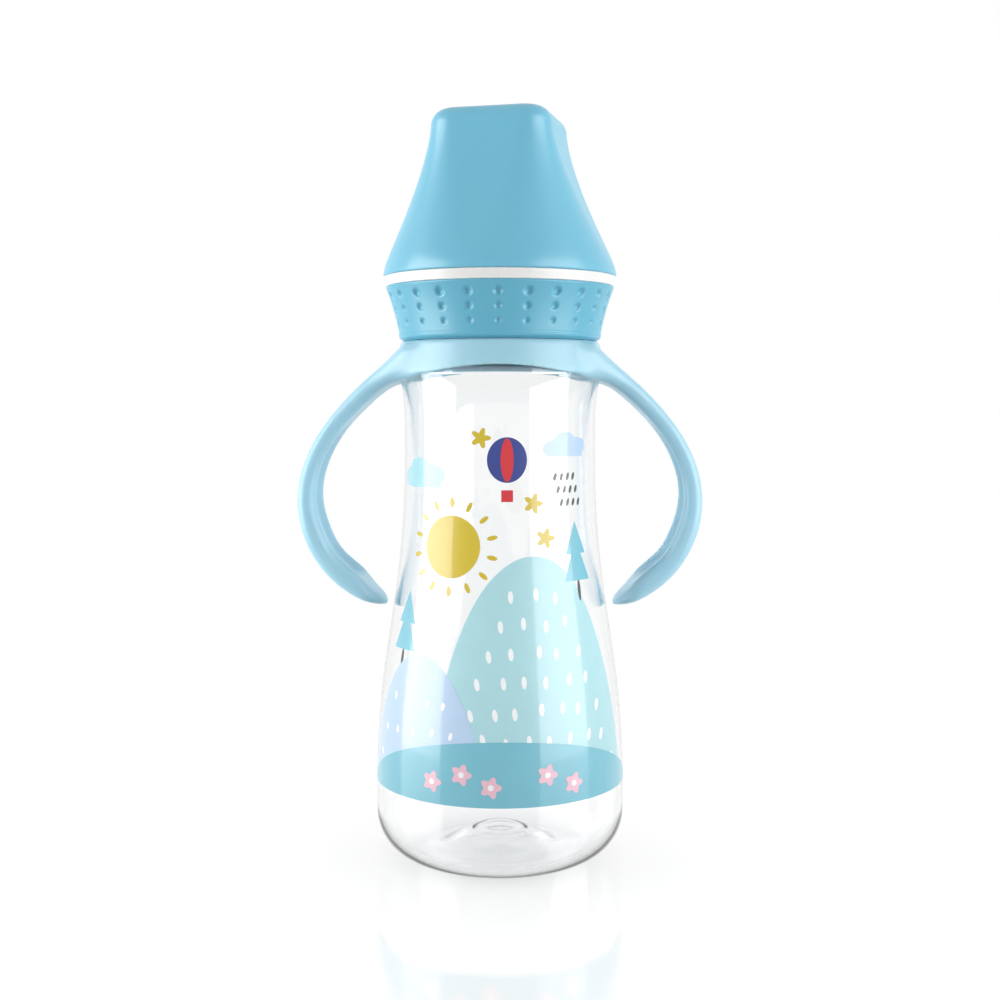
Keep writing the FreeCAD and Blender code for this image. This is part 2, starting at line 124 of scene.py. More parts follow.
def turn(name, outline, columns, relief=None, closed=True):
    """Surface of revolution: outline point (r, z) at angle a lies at (r sin a, -r cos a, z). The relief, a
    function of r, z and a, is added to the radius."""
    angle = np.linspace(0, FULL_TURN, columns, endpoint=False)[None, :]
    radius = np.repeat(outline[:, :1], columns, axis=1)
    height = np.repeat(outline[:, 1:], columns, axis=1)
    if relief is not None:
        radius = radius + relief(radius, height, angle)
    points = np.stack((radius * np.sin(angle), -radius * np.cos(angle), height), axis=-1)
    return mesh_object(name, points, grid_faces(len(outline), columns, closed, True))


def spline(x, knots, values):
    """Natural cubic spline: a smooth curve through the values at the knots, with no bend at its ends."""
    knots = np.asarray(knots, float)
    values = np.asarray(values, float)
    gap = np.diff(knots)
    slope = np.diff(values) / gap
    system = np.eye(len(knots))
    inner = np.arange(1, len(knots) - 1)
    system[inner, inner - 1] = gap[:-1]
    system[inner, inner] = 2 * (gap[:-1] + gap[1:])
    system[inner, inner + 1] = gap[1:]
    target = np.zeros(len(knots))
    target[1:-1] = 6 * np.diff(slope)
    bend = np.linalg.solve(system, target)
    span = np.clip(np.searchsorted(knots, x) - 1, 0, len(gap) - 1)
    after = x - knots[span]
    before = knots[span + 1] - x
    width = gap[span]
    curved = (bend[span] * before ** 3 + bend[span + 1] * after ** 3) / (6 * width)
    straight = (values[span] / width - bend[span] * width / 6) * before
    return curved + straight + (values[span + 1] / width - bend[span + 1] * width / 6) * after


def smooth_step(x):
    """Rises from 0 to 1 as x goes from 0 to 1, level at both ends."""
    x = np.clip(x, 0, 1)
    return x * x * (3 - 2 * x)


# Materials

def new_material(name):
    """Material with its node tree and main shader."""
    material = bpy.data.materials.new(name)
    material.use_nodes = True
    tree = material.node_tree
    return material, tree, tree.nodes["Principled BSDF"]


def add_node(tree, kind, **settings):
    """Node with its settings and socket values."""
    node = tree.nodes.new(kind)
    for key, value in settings.items():
        if hasattr(node, key):
            setattr(node, key, value)
        else:
            node.inputs[key.replace("_", " ")].default_value = value
    return node


def object_noise(tree, scale, detail=3.0, stretch=(1, 1, 1)):
    """Noise on the piece's own coordinates, in metres."""
    where = add_node(tree, "ShaderNodeTexCoord")
    mapping = add_node(tree, "ShaderNodeMapping")
    mapping.inputs["Scale"].default_value = stretch
    noise = add_node(tree, "ShaderNodeTexNoise", Scale=scale, Detail=detail)
    tree.links.new(where.outputs["Object"], mapping.inputs["Vector"])
    tree.links.new(mapping.outputs["Vector"], noise.inputs["Vector"])
    return noise.outputs["Fac"]


def spread(tree, source, low, high):
    """Map noise about its middle to a range of values."""
    reach = add_node(tree, "ShaderNodeMapRange")
    reach.inputs["From Min"].default_value = 0.3
    reach.inputs["From Max"].default_value = 0.7
    reach.inputs["To Min"].default_value = low
    reach.inputs["To Max"].default_value = high
    tree.links.new(source, reach.inputs["Value"])
    return reach.outputs["Result"]


def add_bump(tree, shader, source, strength, distance):
    """Let the noise ripple the shaded surface."""
    bump = add_node(tree, "ShaderNodeBump", Strength=strength, Distance=distance)
    tree.links.new(source, bump.inputs["Height"])
    tree.links.new(bump.outputs["Normal"], shader.inputs["Normal"])


def add_mottle(tree, shader, colour, source, drift):
    """Let the colour drift a little lighter and darker with the noise."""
    mix = add_node(tree, "ShaderNodeMix", data_type="RGBA")
    mix.inputs[6].default_value = (*[channel * (1 - drift) for channel in colour], 1)
    mix.inputs[7].default_value = (*[min(1, channel * (1 + drift)) for channel in colour], 1)
    tree.links.new(source, mix.inputs["Factor"])
    tree.links.new(mix.outputs[2], shader.inputs["Base Color"])


def moulded_plastic(name, colour, roughness, bleed=0.06, depth=1.2):
    """Satin moulded plastic: faint flow marks in the colour, a fine mould grain and a little light that
    bleeds through the skin to a depth in millimetres."""
    material, tree, shader = new_material(name)
    flow = object_noise(tree, 60, stretch=(1, 1, 0.35))
    grain = object_noise(tree, 2600, detail=2.0)
    add_mottle(tree, shader, colour, flow, 0.025)
    tree.links.new(spread(tree, flow, roughness - 0.03, roughness + 0.04), shader.inputs["Roughness"])
    add_bump(tree, shader, grain, 0.12, 0.02 * MM)
    shader.inputs["IOR"].default_value = 1.55
    shader.inputs["Subsurface Weight"].default_value = bleed
    shader.inputs["Subsurface Radius"].default_value = (1.0, 1.2, 1.3)
    shader.inputs["Subsurface Scale"].default_value = depth * MM
    return material


def clear_plastic(name):
    """Blown clear plastic: a faint wave in its skin, and a grey that deepens where the wall is seen edge on.
    Light from the lamps passes its walls, a little dimmed."""
    material, tree, shader = new_material(name)
    shader.inputs["Base Color"].default_value = (0.975, 0.98, 0.982, 1)
    shader.inputs["Roughness"].default_value = 0.012
    shader.inputs["IOR"].default_value = 1.5
    shader.inputs["Transmission Weight"].default_value = 1.0
    add_bump(tree, shader, object_noise(tree, 45, detail=1.0, stretch=(1, 1, 0.3)), 0.02, 0.4 * MM)
    haze = add_node(tree, "ShaderNodeVolumeAbsorption", Color=(0.62, 0.68, 0.7, 1), Density=13.0)
    passing = add_node(tree, "ShaderNodeBsdfTransparent", Color=(0.86, 0.87, 0.88, 1))
    path = add_node(tree, "ShaderNodeLightPath")
    lamps = add_node(tree, "ShaderNodeMixShader")
    out = tree.nodes["Material Output"]
    tree.links.new(path.outputs["Is Shadow Ray"], lamps.inputs["Fac"])
    tree.links.new(shader.outputs["BSDF"], lamps.inputs[1])
    tree.links.new(passing.outputs["BSDF"], lamps.inputs[2])
    tree.links.new(lamps.outputs["Shader"], out.inputs["Surface"])
    tree.links.new(haze.outputs["Volume"], out.inputs["Volume"])
    return material


def silicone(name):
    """Clear soft silicone with a faint cloud and a matt moulded skin."""
    material, tree, shader = new_material(name)
    cloud = object_noise(tree, 90)
    add_mottle(tree, shader, (0.95, 0.955, 0.945), cloud, 0.03)
    tree.links.new(spread(tree, cloud, 0.26, 0.38), shader.inputs["Roughness"])
    shader.inputs["IOR"].default_value = 1.41
    shader.inputs["Transmission Weight"].default_value = 0.8
    shader.inputs["Subsurface Weight"].default_value = 0.3
    shader.inputs["Subsurface Radius"].default_value = (1.0, 1.0, 1.0)
    shader.inputs["Subsurface Scale"].default_value = 2 * MM
    add_bump(tree, shader, object_noise(tree, 1500, detail=2.0), 0.1, 0.02 * MM)
    return material


def ink(name, colour):
    """Screen-printed ink: nearly even colour with a slight mottle, under the bottle's gloss."""
    material, tree, shader = new_material(name)
    add_mottle(tree, shader, colour, object_noise(tree, 240, detail=4.0), 0.04)
    shader.inputs["Roughness"].default_value = 0.3
    shader.inputs["Coat Weight"].default_value = 0.6
    shader.inputs["Coat Roughness"].default_value = 0.05
    return material


def dress(piece, body, material, slot, *nodes):
    """Give a piece its material and the body that it moves with, and hide the solids that it stands for."""
    piece.data.materials.clear()
    piece.data.materials.append(material)
    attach(piece, body)
    if nodes:
        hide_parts(*nodes)


# Bottle

TAPER = math.radians(8.6)
WAIST_RADIUS = 23.1
WALL = 1.4
NECK_RADIUS = 20.6
NECK_BORE = 18.9
THREAD_PITCH = 4.0
THREAD_DEPTH = 1.0
THREAD_TURNS = 1.6
THREAD_FOOT = RIM - 9.1


def bottle_steps():
    """Wall section from the axis under the base, up the outside, over the rim and down the inside."""
    belly_top = 18.5
    belly_bend = 200.0
    waist_bend = 225.0
    flare_start = 107.0
    flare_bend = 40.7
    flare_height = 10.4
    shoulder_ease = 2.5
    shoulder_bend = 3.7
    neck_ease = 1.0
    heel_bend = 11.4
    foot_width = 2.4
    punt_rise = 5.2
    button_radius = 6.0
    button_depth = 0.3
    punt_ease = 8.0
    base_wall = 1.8
    edge = 0.5
    fall = 1 - math.cos(TAPER)
    straight = (BELLY_RADIUS - WAIST_RADIUS - (belly_bend + waist_bend) * fall) / math.sin(TAPER)
    taper_foot = (BELLY_RADIUS - belly_bend * fall, belly_top + belly_bend * math.sin(TAPER))
    taper_top = (WAIST_RADIUS + waist_bend * fall, taper_foot[1] + straight * math.cos(TAPER))
    waist_top = taper_top[1] + waist_bend * math.sin(TAPER)
    lean = flare_height / flare_bend
    upright = math.sqrt(1 - lean * lean)
    flare_edge = WAIST_RADIUS + flare_bend * (1 - upright)
    flare_top = flare_start + flare_height
    shoulder_edge = flare_edge + shoulder_ease * (1 - upright)
    shoulder_foot = flare_top + shoulder_ease * lean
    diagonal = math.sqrt(0.5)
    bend_middle = shoulder_edge - shoulder_bend
    inner_shoulder = shoulder_bend - WALL
    cone = (bend_middle + shoulder_bend * diagonal, shoulder_foot + shoulder_bend * diagonal)
    inner_cone = (bend_middle + inner_shoulder * diagonal, shoulder_foot + inner_shoulder * diagonal)
    cone_end = NECK_RADIUS + neck_ease * (1 - diagonal)
    cone_top = sum(cone) - cone_end
    inset = (WALL * math.cos(TAPER), WALL * math.sin(TAPER))
    foot_edge = BELLY_RADIUS - heel_bend
    foot_inner = foot_edge - foot_width
    punt_turn = 2 * math.atan2(punt_rise, foot_inner)
    punt_bend = foot_inner / math.sin(punt_turn) - punt_ease
    punt_centre = punt_rise - punt_bend
    floor_bend = punt_bend + base_wall
    button_foot = punt_centre + math.sqrt(punt_bend ** 2 - button_radius ** 2)
    button_top = punt_centre + math.sqrt(floor_bend ** 2 - button_radius ** 2)
    inner_bend = heel_bend - WALL
    outside = [
        (0, punt_rise + button_depth, -punt_bend),
        (button_radius - edge, button_foot + button_depth),
        (button_radius, button_foot, -punt_bend),
        (punt_bend * math.sin(punt_turn), punt_centre + punt_bend * math.cos(punt_turn), punt_ease),
        (foot_inner, FOOT),
        (foot_edge, FOOT, heel_bend),
        (BELLY_RADIUS, heel_bend),
        (BELLY_RADIUS, belly_top, belly_bend),
        taper_foot,
        (*taper_top, -waist_bend),
        (WAIST_RADIUS, waist_top),
        (WAIST_RADIUS, flare_start, -flare_bend),
        (flare_edge, flare_top, shoulder_ease),
        (shoulder_edge, shoulder_foot, shoulder_bend),
        cone,
    ]
    neck = [
        (cone_end, cone_top, -neck_ease),
        (NECK_RADIUS, cone_top + neck_ease * diagonal),
        (NECK_RADIUS, RIM - edge, edge),
        (NECK_RADIUS - edge, RIM),
        (NECK_BORE, RIM),
    ]
    inside = [
        (NECK_BORE, sum(inner_cone) - NECK_BORE),
        (*inner_cone, -inner_shoulder),
        (shoulder_edge - WALL, shoulder_foot, WALL - shoulder_ease),
        (flare_edge - WALL * upright, flare_top + WALL * lean, flare_bend + WALL),
        (WAIST_RADIUS - WALL, flare_start),
        (WAIST_RADIUS - WALL, waist_top, waist_bend + WALL),
        (taper_top[0] - inset[0], taper_top[1] - inset[1]),
        (taper_foot[0] - inset[0], taper_foot[1] - inset[1], WALL - belly_bend),
        (BELLY_RADIUS - WALL, belly_top),
        (BELLY_RADIUS - WALL, base_wall + inner_bend, -inner_bend),
        (foot_edge, base_wall),
        (foot_inner, base_wall, base_wall - punt_ease),
        (floor_bend * math.sin(punt_turn), punt_centre + floor_bend * math.cos(punt_turn), floor_bend),
        (button_radius, button_top),
        (button_radius - edge, button_top + button_depth, floor_bend),
        (0, base_wall + punt_rise + button_depth),
    ]
    return outside, neck, inside


OUTSIDE, NECK, INSIDE = bottle_steps()
SKIN = trace(OUTSIDE + NECK[:2], 1.0)
SKIN = SKIN[np.argmax(SKIN[:, 0] > BELLY_RADIUS - 1e-6):]


def skin_radius(height):
    """Radius of the bottle's outside at a height between its belly and its neck."""
    return np.interp(height, SKIN[:, 1], SKIN[:, 0])


def thread_ridge(height, angle, foot, depth, turns):
    """Rounded helical ridge: it climbs one pitch a turn, and its ends fade out."""
    start = foot + THREAD_PITCH * angle / FULL_TURN
    lap = np.clip(np.round((height - start) / THREAD_PITCH), 0, math.ceil(turns) - 1)
    half_width = 0.32 * THREAD_PITCH
    run_out = 0.12
    off = (height - start - lap * THREAD_PITCH) / half_width
    along = lap + angle / FULL_TURN
    fade = smooth_step(along / run_out) * smooth_step((turns - along) / run_out)
    return depth * fade * smooth_step(1.6 * (1 - np.abs(off)))


def make_bottle():
    """The wall section turned about the axis, with the screw thread raised on the neck."""
    neck_foot = NECK[1][1]

    def thread(radius, height, angle):
        on_neck = (np.abs(radius - NECK_RADIUS) < 1e-6) & (height > neck_foot)
        return np.where(on_neck, thread_ridge(height, angle, THREAD_FOOT, THREAD_DEPTH, THREAD_TURNS), 0)

    body = trace(OUTSIDE + NECK[:1], 1.2)
    neck = trace(NECK + INSIDE[:1], 0.25)
    inside = trace(INSIDE, 1.2)
    outline = np.concatenate((body[:-1], neck[:-1], inside))
    piece = turn("bottle_wall", outline, 224, thread, closed=False)
    dress(piece, "bottle", clear_plastic("clear_plastic"), "clear_plastic", "bottle")


# Ring with its two handles

HANDLE_CENTRE = (22.7, 87.1)
HANDLE_RADIUS = 25.85
HANDLE_RISE = 10.5
HANDLE_LIP = 1.2
HANDLE_SAG = 0.35
HANDLE_HALF_DEPTH = 8.2
HANDLE_EDGE = 2.2
ROOT_FLARE = 6.4
TIP_ANGLE = -80.8
STRAP_ANGLES = (-83.5, -78, -70, -61, -50, -37, -20, 0, 30, 58, 75, 82, 90)
STRAP_THICKNESS = (1.7, 2.9, 3.5, 4.8, 5.4, 5.1, 5.1, 4.55, 4.1, 4.15, 4.85, 5.5, 7.5)
CHANNEL_DEPTH = 1.6
CHANNEL_HALF_WIDTH = 6.6
RING_BORE = 21.8
RING_CLEARANCE = 22.3
RING_SKIRT_BORE = 24.85
RING_GAP = 0.36
RING_FOOT = 115.7
RING_FOOT_RADIUS = 26.5
RING_TOP_RADIUS = 24.1
SADDLE_HEIGHT = 119.6
SADDLE_BEND = 74.0
BACK_DROP = 0.7


def rounded_loop(side_points, corner_points):
    """Unit loop of a rounded box, anticlockwise. Each point has a place (along x, along y), from -1 to 1 on
    the box that the corner arcs are centred on, and a direction that the corner radius is laid along."""
    quarter = np.linspace(0, math.pi / 2, corner_points)
    run = np.linspace(-1, 1, side_points + 2)[1:-1]
    place, direction = [], []
    for side in range(4):
        heading = side * math.pi / 2
        along = np.array((-math.sin(heading), math.cos(heading)))
        out = np.array((math.cos(heading), math.sin(heading)))
        place.append(out + run[:, None] * along)
        direction.append(np.repeat(out[None], side_points, axis=0))
        place.append(np.repeat((out + along)[None], corner_points, axis=0))
        direction.append(np.stack((np.cos(heading + quarter), np.sin(heading + quarter)), axis=-1))
    return np.concatenate(place), np.concatenate(direction)


def strap_points():
    """Closed strap: a rounded box fanned about the handle's centre. Towards the root its outer radius and
    depth grow with powers of the angle, its thickness follows a spline, and it ends in a blunt round tip. Its
    inner face is hollowed along the middle. The first rows run on into the ring, above its lower edge, and
    widen there."""
    root_angle = 90
    rise_power = 3.6
    lip_power = 20
    flare_power = 6.3
    sag_power = 4
    blunt_power = 14
    root_spread = 0.5
    round_share = 0.46
    place, direction = rounded_loop(15, 7)
    fan = np.concatenate((np.linspace(root_angle, 60, 26), np.linspace(58.5, -66, 80),
                          np.linspace(-67, TIP_ANGLE + 0.03, 44)))
    sunk = np.linspace(7.7, 1.1, 6)
    angle = np.concatenate((np.repeat(fan[:1], len(sunk)), fan))[:, None]
    shift = np.concatenate((sunk, np.zeros(len(fan))))[:, None]
    climb = np.maximum(angle, 0) / root_angle
    fall = np.minimum(angle, 0) / TIP_ANGLE
    taper = np.sqrt(1 - fall ** blunt_power)
    thick = taper * spline(angle, STRAP_ANGLES, STRAP_THICKNESS)
    outer = HANDLE_RADIUS + HANDLE_RISE * climb ** rise_power + HANDLE_LIP * climb ** lip_power
    outer = outer + HANDLE_SAG * fall ** sag_power
    half_depth = (HANDLE_HALF_DEPTH + ROOT_FLARE * climb ** flare_power) * taper + root_spread * shift
    corner = np.minimum(HANDLE_EDGE, round_share * thick)
    radius = outer - thick / 2 + place[:, 0] * (thick / 2 - corner) + direction[:, 0] * corner
    depth = place[:, 1] * (half_depth - corner) + direction[:, 1] * corner
    along = smooth_step((angle + 64) / 14) * smooth_step((64 - angle) / 40)
    across = smooth_step(1.5 * (1 - np.abs(depth) / CHANNEL_HALF_WIDTH))
    inner_face = np.where(direction[:, 0] < -0.999, 1.0, 0.0)
    radius = radius + CHANNEL_DEPTH * along * across * inner_face
    turned = np.radians(angle)
    x = HANDLE_CENTRE[0] + radius * np.cos(turned) - shift
    z = np.minimum(HANDLE_CENTRE[1] + radius * np.sin(turned), RING_TOP)
    clear = np.maximum(1, RING_CLEARANCE / np.hypot(x, depth))
    above_edge = np.maximum(z, arch(np.arctan2(x, -depth)) + 0.3)
    return np.stack((x * clear, depth * clear, np.where(shift > 0, above_edge, z)), axis=-1)


def arch(angle):
    """Height of the ring's lower edge: an arc across X, high in front and a little less so at the back."""
    across = np.minimum(RING_FOOT_RADIUS * np.abs(np.sin(angle)), RING_BORE + 2.2)
    edge = SADDLE_HEIGHT - SADDLE_BEND + np.sqrt(SADDLE_BEND ** 2 - across ** 2)
    return edge - BACK_DROP * smooth_step(-1.5 * np.cos(angle))


def ring_points(columns):
    """Skirted ring: a conical outside, an inside that keeps a gap off the bottle's shoulder and neck, and
    an arched lower edge."""
    angle = np.linspace(0, FULL_TURN, columns, endpoint=False)[None, :]
    bevel = 0.6
    edge = arch(angle)
    top_edge = RING_TOP - bevel
    rise = np.linspace(0, 1, 22)[:, None]
    outer_height = edge + (top_edge - edge) * rise
    slope = (RING_TOP_RADIUS - RING_FOOT_RADIUS) / (top_edge - RING_FOOT)
    outer_radius = RING_FOOT_RADIUS + slope * (outer_height - RING_FOOT)
    level = np.ones_like(angle)
    inner_height = np.maximum(np.linspace(RING_TOP, RING_FOOT, 30)[:, None], edge)
    inner_radius = np.clip(skin_radius(inner_height) + RING_GAP, RING_BORE, RING_SKIRT_BORE)
    radius = np.concatenate((outer_radius, (RING_TOP_RADIUS - bevel) * level, inner_radius))
    height = np.concatenate((outer_height, RING_TOP * level, inner_height))
    return np.stack((radius * np.sin(angle), -radius * np.cos(angle), height), axis=-1)


def make_handle_ring():
    """Ring and straps, fused on a fine voxel grid and relaxed, which rounds the joins as moulding does."""
    ring = ring_points(220)
    strap = strap_points()
    mirrored = strap * (-1, 1, 1)
    rows, columns = strap.shape[:2]
    strap_faces = grid_faces(rows, columns, False, True)
    parts = [mesh_object("ring_form", ring, grid_faces(ring.shape[0], ring.shape[1], True, True))]
    for name, points in (("right_form", strap), ("left_form", mirrored)):
        form = mesh_object(name, points, strap_faces)
        close_ends(form)
        parts.append(form)
    piece = fuse("handles", parts, voxel=0.37, rounds=10)
    soften_roots(piece.data, rounds=80)
    even_edge(piece.data, slots=240)
    finish = moulded_plastic("handle_plastic", (0.365, 0.635, 0.76), 0.34, bleed=0.45, depth=2.5)
    dress(piece, "handles", finish, "handle_plastic", "handle_ring")


def soften_roots(mesh, rounds):
    """Round the join between ring and straps: points near it move towards the mean of their neighbours, fully
    at the join and less with distance, and not at all by the bore or the level top."""
    points = read_points(mesh)
    edges = np.empty(len(mesh.edges) * 2, int)
    mesh.edges.foreach_get("vertices", edges)
    first, second = edges.reshape(-1, 2).T
    count = np.bincount(edges, minlength=len(points))[:, None]
    join_start = 15
    join_end = 34
    bore_limit = 24.2
    top_limit = RING_TOP - 0.4
    fade = 1.2
    pull = 0.6
    across = np.abs(points[:, 0])
    away = np.hypot(points[:, 0], points[:, 1])
    near = smooth_step((across - join_start) / 4) * smooth_step((join_end - across) / 6)
    free = smooth_step((away - bore_limit) / fade) * smooth_step((top_limit - points[:, 2]) / fade)
    weight = pull * (near * free)[:, None]
    for _ in range(rounds):
        total = np.stack([np.bincount(first, points[second, axis], len(points))
                          + np.bincount(second, points[first, axis], len(points))
                          for axis in range(3)], axis=-1)
        points = points + weight * (total / count - points)
    write_points(mesh, points)


def even_edge(mesh, slots):
    """Take the ripple out of the ring's lower edge: the height of its lowest points off the arch, slot by
    slot round the ring, is set against a Gaussian mean, and points by the edge move by the difference, less
    with height."""
    points = read_points(mesh)
    angle = np.arctan2(points[:, 0], -points[:, 1]) % FULL_TURN
    above = points[:, 2] - arch(angle)
    on_ring = (np.hypot(points[:, 0], points[:, 1]) < RING_FOOT_RADIUS + 1) & (above > -1)
    slot = np.minimum(angle / FULL_TURN * slots, slots - 1).astype(int)
    low = np.full(slots, 0.6)
    np.minimum.at(low, slot[on_ring], above[on_ring])
    width = 4
    reach = 3 * width
    share = np.exp(-np.arange(-reach, reach + 1) ** 2 / (2 * width ** 2))
    lapped = np.concatenate((low[-reach:], low, low[:reach]))
    mean = np.convolve(lapped, share / share.sum(), "valid")
    middle = (np.arange(slots) + 0.5) * FULL_TURN / slots
    shift = np.interp(angle, middle, mean - low, period=FULL_TURN)
    fade_height = 2.5
    off_straps = smooth_step((0.9 - np.abs(np.sin(angle))) / 0.12)
    weight = smooth_step(1 - above / fade_height) * off_straps
    points[:, 2] += np.where(on_ring, weight * shift, 0)
    write_points(mesh, points)


def read_points(mesh):
    """The mesh's points in millimetres, one row each."""
    points = np.empty(len(mesh.vertices) * 3)
    mesh.vertices.foreach_get("co", points)
    return points.reshape(-1, 3) / MM


def write_points(mesh, points):
    """Put points in millimetres back into the mesh."""
    mesh.vertices.foreach_set("co", (points * MM).ravel())
    mesh.update()


def close_ends(form):
    """Cap the open loops of a tube."""
    shape = bmesh.new()
    shape.from_mesh(form.data)
    bmesh.ops.holes_fill(shape, edges=[edge for edge in shape.edges if edge.is_boundary], sides=0)
    bmesh.ops.recalc_face_normals(shape, faces=shape.faces)
    shape.to_mesh(form.data)
    shape.free()


def fuse(name, parts, voxel, rounds):
    """Join closed forms into one skin on a voxel grid, then relax it."""
    joined = bmesh.new()
    for part in parts:
        joined.from_mesh(part.data)
        bpy.data.objects.remove(part)
    mesh = bpy.data.meshes.new(name + "_forms")
    joined.to_mesh(mesh)
    joined.free()
    whole = link(bpy.data.objects.new(name + "_forms", mesh))
    remesh = whole.modifiers.new("skin", "REMESH")
    remesh.mode = "VOXEL"
    remesh.voxel_size = voxel * MM
    relax = whole.modifiers.new("relax", "SMOOTH")
    relax.factor = 0.5
    relax.iterations = rounds
    settled = whole.evaluated_get(bpy.context.evaluated_depsgraph_get())
    skin = bpy.data.meshes.new_from_object(settled)
    skin.name = name
    skin.polygons.foreach_set("use_smooth", np.ones(len(skin.polygons), bool))
    bpy.data.objects.remove(whole)
    return link(bpy.data.objects.new(name, skin))


# Teat, screw ring and dimpled sleeve

CLAMP_FOOT = 137.7
CLAMP_TOP = 139.3
BAND_TOP = HOOD_FOOT
THREAD_BORE = 21.9
SCREW_FOOT = COLLAR_FOOT + 0.3
SLEEVE_BORE = 22.95
DIMPLE_COLUMNS = 24
DIMPLE_ROWS = 3
DIMPLE_TOP_ROW = 136.1
DIMPLE_ROW_GAP = 3.25
DIMPLE_SHRINK = 0.16
DIMPLE_RADIUS = 1.35


def make_teat():
    """Skin of even thickness turned about the axis: flange, waist, shoulder, dome, neck and bulb."""
    wall = 1.7
    flange = 20.4
    waist = 17.1
    shoulder = 18.3
    shoulder_top = 141.4
    dome_bend = 17.5
    neck = (6.6, 154.5)
    neck_bend = 26.0
    bulb_height = 164.4
    bulb = 7.6
    hole = 0.6
    groove_top = CLAMP_TOP + 0.2
    outline = [
        (waist - wall, RIM),
        (flange, RIM),
        (flange, CLAMP_FOOT),
        (waist, CLAMP_FOOT),
        (waist, groove_top),
        (shoulder, groove_top),
        (shoulder, shoulder_top, -dome_bend),
        (*neck, -neck_bend),
        (bulb, bulb_height, bulb),
        (hole, bulb_height + math.sqrt(bulb ** 2 - hole ** 2)),
        (hole, bulb_height + math.sqrt((bulb - wall) ** 2 - hole ** 2), wall - bulb),
        (bulb - wall, bulb_height, neck_bend),
        (neck[0] - wall, neck[1], dome_bend + wall),
        (waist - wall, shoulder_top - wall),
        (waist - wall, RIM),
    ]
    piece = turn("teat_skin", trace(outline, 1.0)[:-1], 144)
    dress(piece, "teat", silicone("silicone"), "silicone", "teat")


def make_screw_ring():
    """White ring: conical wall with the inner thread, lip over the teat, outer band and spigot for the
    hood."""
    edge = 0.35
    cone = 25.9
    band = (27.5, 27.95)
    spigot = 25.7
    spigot_bore = 24.2
    lip_bore = 17.4
    outline = [
        (THREAD_BORE, SCREW_FOOT),
        (SLEEVE_BORE, SCREW_FOOT),
        (cone, COLLAR_TOP),
        (band[0] - edge, COLLAR_TOP, edge),
        (band[0], COLLAR_TOP + edge),
        (band[1], BAND_TOP - edge, edge),
        (band[1] - edge, BAND_TOP),
        (spigot, BAND_TOP),
        (spigot, SPIGOT_TOP - edge, edge),
        (spigot - edge, SPIGOT_TOP),
        (spigot_bore, SPIGOT_TOP),
        (spigot_bore, CLAMP_TOP),
        (lip_bore, CLAMP_TOP),
        (lip_bore, CLAMP_FOOT),
        (THREAD_BORE, CLAMP_FOOT),
        (THREAD_BORE, SCREW_FOOT),
    ]

    def thread(radius, height, angle):
        on_bore = np.abs(radius - THREAD_BORE) < 1e-6
        inside = on_bore & (height < CLAMP_FOOT - 0.1) & (height > COLLAR_FOOT + 0.4)
        ridge = thread_ridge(height, angle, COLLAR_FOOT + 2.0, 0.8, THREAD_TURNS)
        return np.where(inside, -ridge, 0)

    piece = turn("screw_ring_band", trace(outline, 0.35)[:-1], 192, thread)
    finish = moulded_plastic("white_plastic", (0.84, 0.84, 0.83), 0.28)
    dress(piece, "collar", finish, "white_plastic", "screw_ring")


def dimples(radius, height, angle):
    """Round hollows in columns and rows; each one's depth falls off as a raised cosine from its middle. Rows
    below are smaller."""
    outer_wall = 23.6
    pitch = FULL_TURN / DIMPLE_COLUMNS
    off_angle = (angle + pitch / 2) % pitch - pitch / 2
    depth = np.zeros_like(radius)
    for row in range(DIMPLE_ROWS):
        size = DIMPLE_RADIUS * (1 - DIMPLE_SHRINK * row)
        away = np.hypot(off_angle * radius, height - DIMPLE_TOP_ROW + DIMPLE_ROW_GAP * row) / size
        depth = np.maximum(depth, 0.5 * size * smooth_step(1.35 * (1 - away)))
    return -np.where(radius > outer_wall, depth, 0)


def make_collar_grip():
    """Flared sleeve: a rounded foot bead, a slightly hollow flank with dimples and a crisp top edge."""
    edge = 0.3
    lip = 0.24
    foot = 23.5
    bead = 24.35
    flank = 24.3
    flank_bend = 60.0
    top = 27.4
    cone = 25.95
    outline = [
        (SLEEVE_BORE, COLLAR_FOOT - lip),
        (foot - 0.2, COLLAR_FOOT - lip),
        (foot, COLLAR_FOOT, 1.0),
        (bead, COLLAR_FOOT + 0.95, 0.5),
        (flank, COLLAR_FOOT + 1.5, -flank_bend),
        (top, COLLAR_TOP - edge, edge),
        (top - edge, COLLAR_TOP),
        (cone, COLLAR_TOP),
        (SLEEVE_BORE, SCREW_FOOT),
        (SLEEVE_BORE, COLLAR_FOOT - lip),
    ]
    piece = turn("collar_sleeve", trace(outline, 0.25)[:-1], 600, dimples)
    finish = moulded_plastic("grip_plastic", (0.115, 0.43, 0.58), 0.33)
    dress(piece, "collar", finish, "grip_plastic", "collar_grip")


# Hood

HOOD_WALL = 1.6
HOOD_EDGE = 4.0
HOOD_RIM = (0.25, 27.75)
HOOD_CROWN = (8.0, 6.5)
HOOD_TURN = math.radians(-13.5)
HOOD_POWER = 1.4
HOOD_EASE = 0.08


